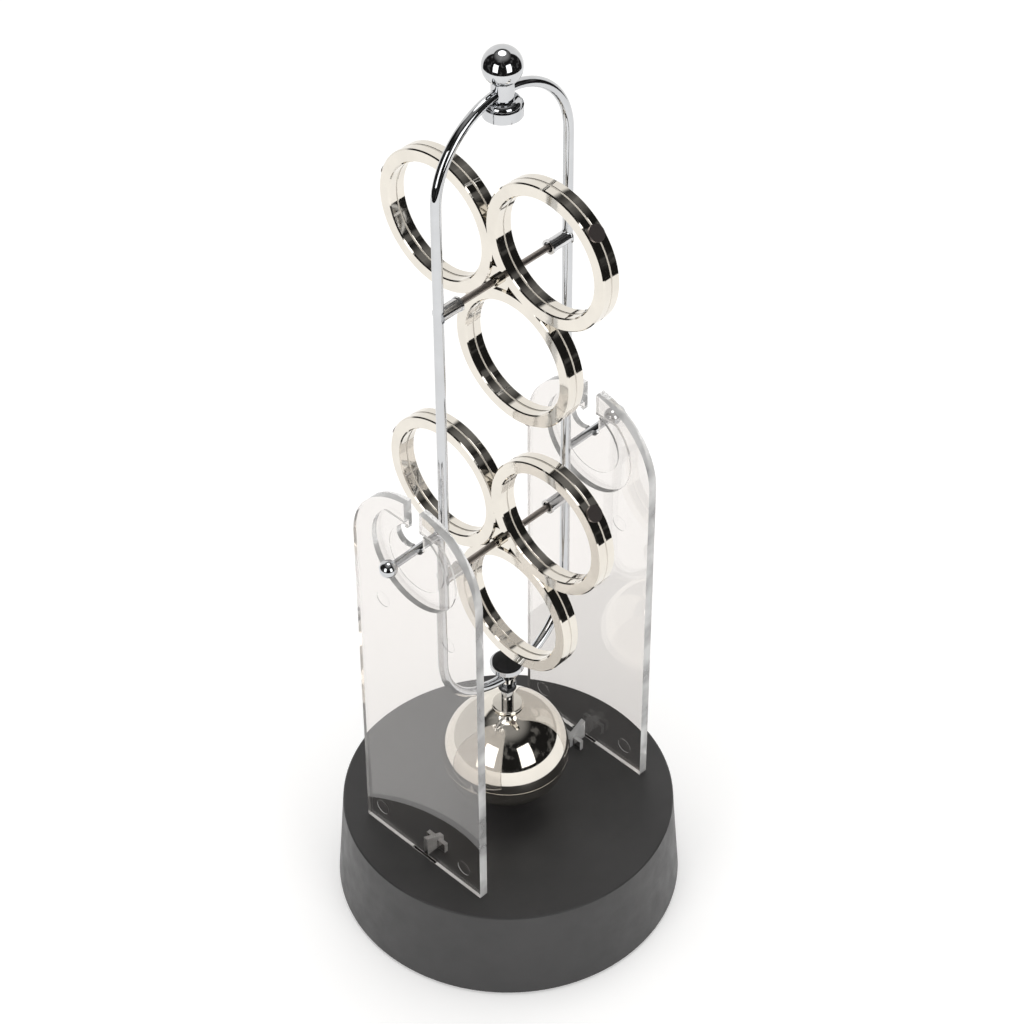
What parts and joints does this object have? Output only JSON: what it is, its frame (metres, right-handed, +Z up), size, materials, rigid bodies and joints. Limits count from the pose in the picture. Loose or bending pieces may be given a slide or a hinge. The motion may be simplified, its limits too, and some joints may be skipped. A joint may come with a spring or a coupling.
{
  "type": "magnetic kinetic swing",
  "caption": "Desk toy: a chromed wire loop with ring rotors and a ball bob rocks on two pivot rods between clear uprights over a round black magnetic drive base.",
  "frame": {"origin": "centre of the base at the height of the surface it stands on", "axes": "+Z up; +X along the pivot rods, through both clear uprights; the loop rocks in Y"},
  "size_m": [0.11, 0.11, 0.3156],
  "materials": {
    "base_plastic": "satin moulded black",
    "cover_plastic": "moulded black",
    "cell_can": "plain printed sleeve",
    "spring_steel": "nickel plated",
    "copper_wire": "enamelled copper",
    "board_green": "green board",
    "chip_black": "black packages",
    "screw_zinc": "zinc plated",
    "foot_rubber": "soft black",
    "clear_acrylic": "clear polished",
    "chrome_wire": "bright plated",
    "chrome_fitting": "bright plated",
    "magnet_dark": "plain dark",
    "pad_rubber": "soft black",
    "plated_bob": "mirror metallised",
    "steel_weight": "plain",
    "plated_rotor": "mirror metallised",
    "axle_steel": "satin"
  },
  "bodies": {
    "stand": {"base_shell": "base_plastic", "bottom_cover": "cover_plastic", "battery_cells": "cell_can", "battery_contacts": "spring_steel", "coil_bobbin": "cover_plastic", "drive_coil": "copper_wire", "circuit_board": "board_green", "board_parts": "chip_black", "board_screws": "screw_zinc", "cover_screws": "screw_zinc", "rubber_feet": "foot_rubber", "left_panel": "clear_acrylic", "right_panel": "clear_acrylic"},
    "swing": {"bob_collar": "plated_bob", "bob_lower": "plated_bob", "bob_magnet": "magnet_dark", "bob_upper": "plated_bob", "bob_weight": "steel_weight", "bottom_cup": "chrome_fitting", "cup_pad": "pad_rubber", "finial_ball": "chrome_fitting", "finial_stem": "chrome_fitting", "left_pivot_ball": "chrome_wire", "left_pivot_rod": "chrome_wire", "loop_wire": "chrome_wire", "lower_left_bushing": "chrome_fitting", "lower_right_bushing": "chrome_fitting", "neck_stud": "chrome_fitting", "right_pivot_ball": "chrome_wire", "right_pivot_rod": "chrome_wire", "top_cap": "chrome_fitting", "top_magnet": "magnet_dark", "upper_left_bushing": "chrome_fitting", "upper_right_bushing": "chrome_fitting"},
    "upper_rotor": {"upper_rotor_front": "plated_rotor", "upper_rotor_back": "plated_rotor", "upper_rotor_magnets": "magnet_dark", "upper_axle": "axle_steel"},
    "lower_rotor": {"lower_rotor_front": "plated_rotor", "lower_rotor_back": "plated_rotor", "lower_rotor_magnets": "magnet_dark", "lower_axle": "axle_steel"},
    "battery_lid": {"battery_door": "cover_plastic"}
  },
  "joints": [
    {"name": "swing_pivot", "type": "hinge", "parent": "stand", "child": "swing", "pos_m": [0, 0, 0.1633], "axis": [1, 0, 0], "range_deg": [-20, 20]},
    {"name": "upper_rotor_spin", "type": "hinge", "parent": "swing", "child": "upper_rotor", "pos_m": [0, 0, 0.24171], "axis": [1, 0, 0], "continuous": true},
    {"name": "lower_rotor_spin", "type": "hinge", "parent": "swing", "child": "lower_rotor", "pos_m": [0, 0, 0.1449], "axis": [1, 0, 0], "continuous": true},
    {"name": "battery_lid_pull", "type": "slide", "parent": "stand", "child": "battery_lid", "axis": [0, 0, -1], "range_m": [0, 0.012]}
  ]
}
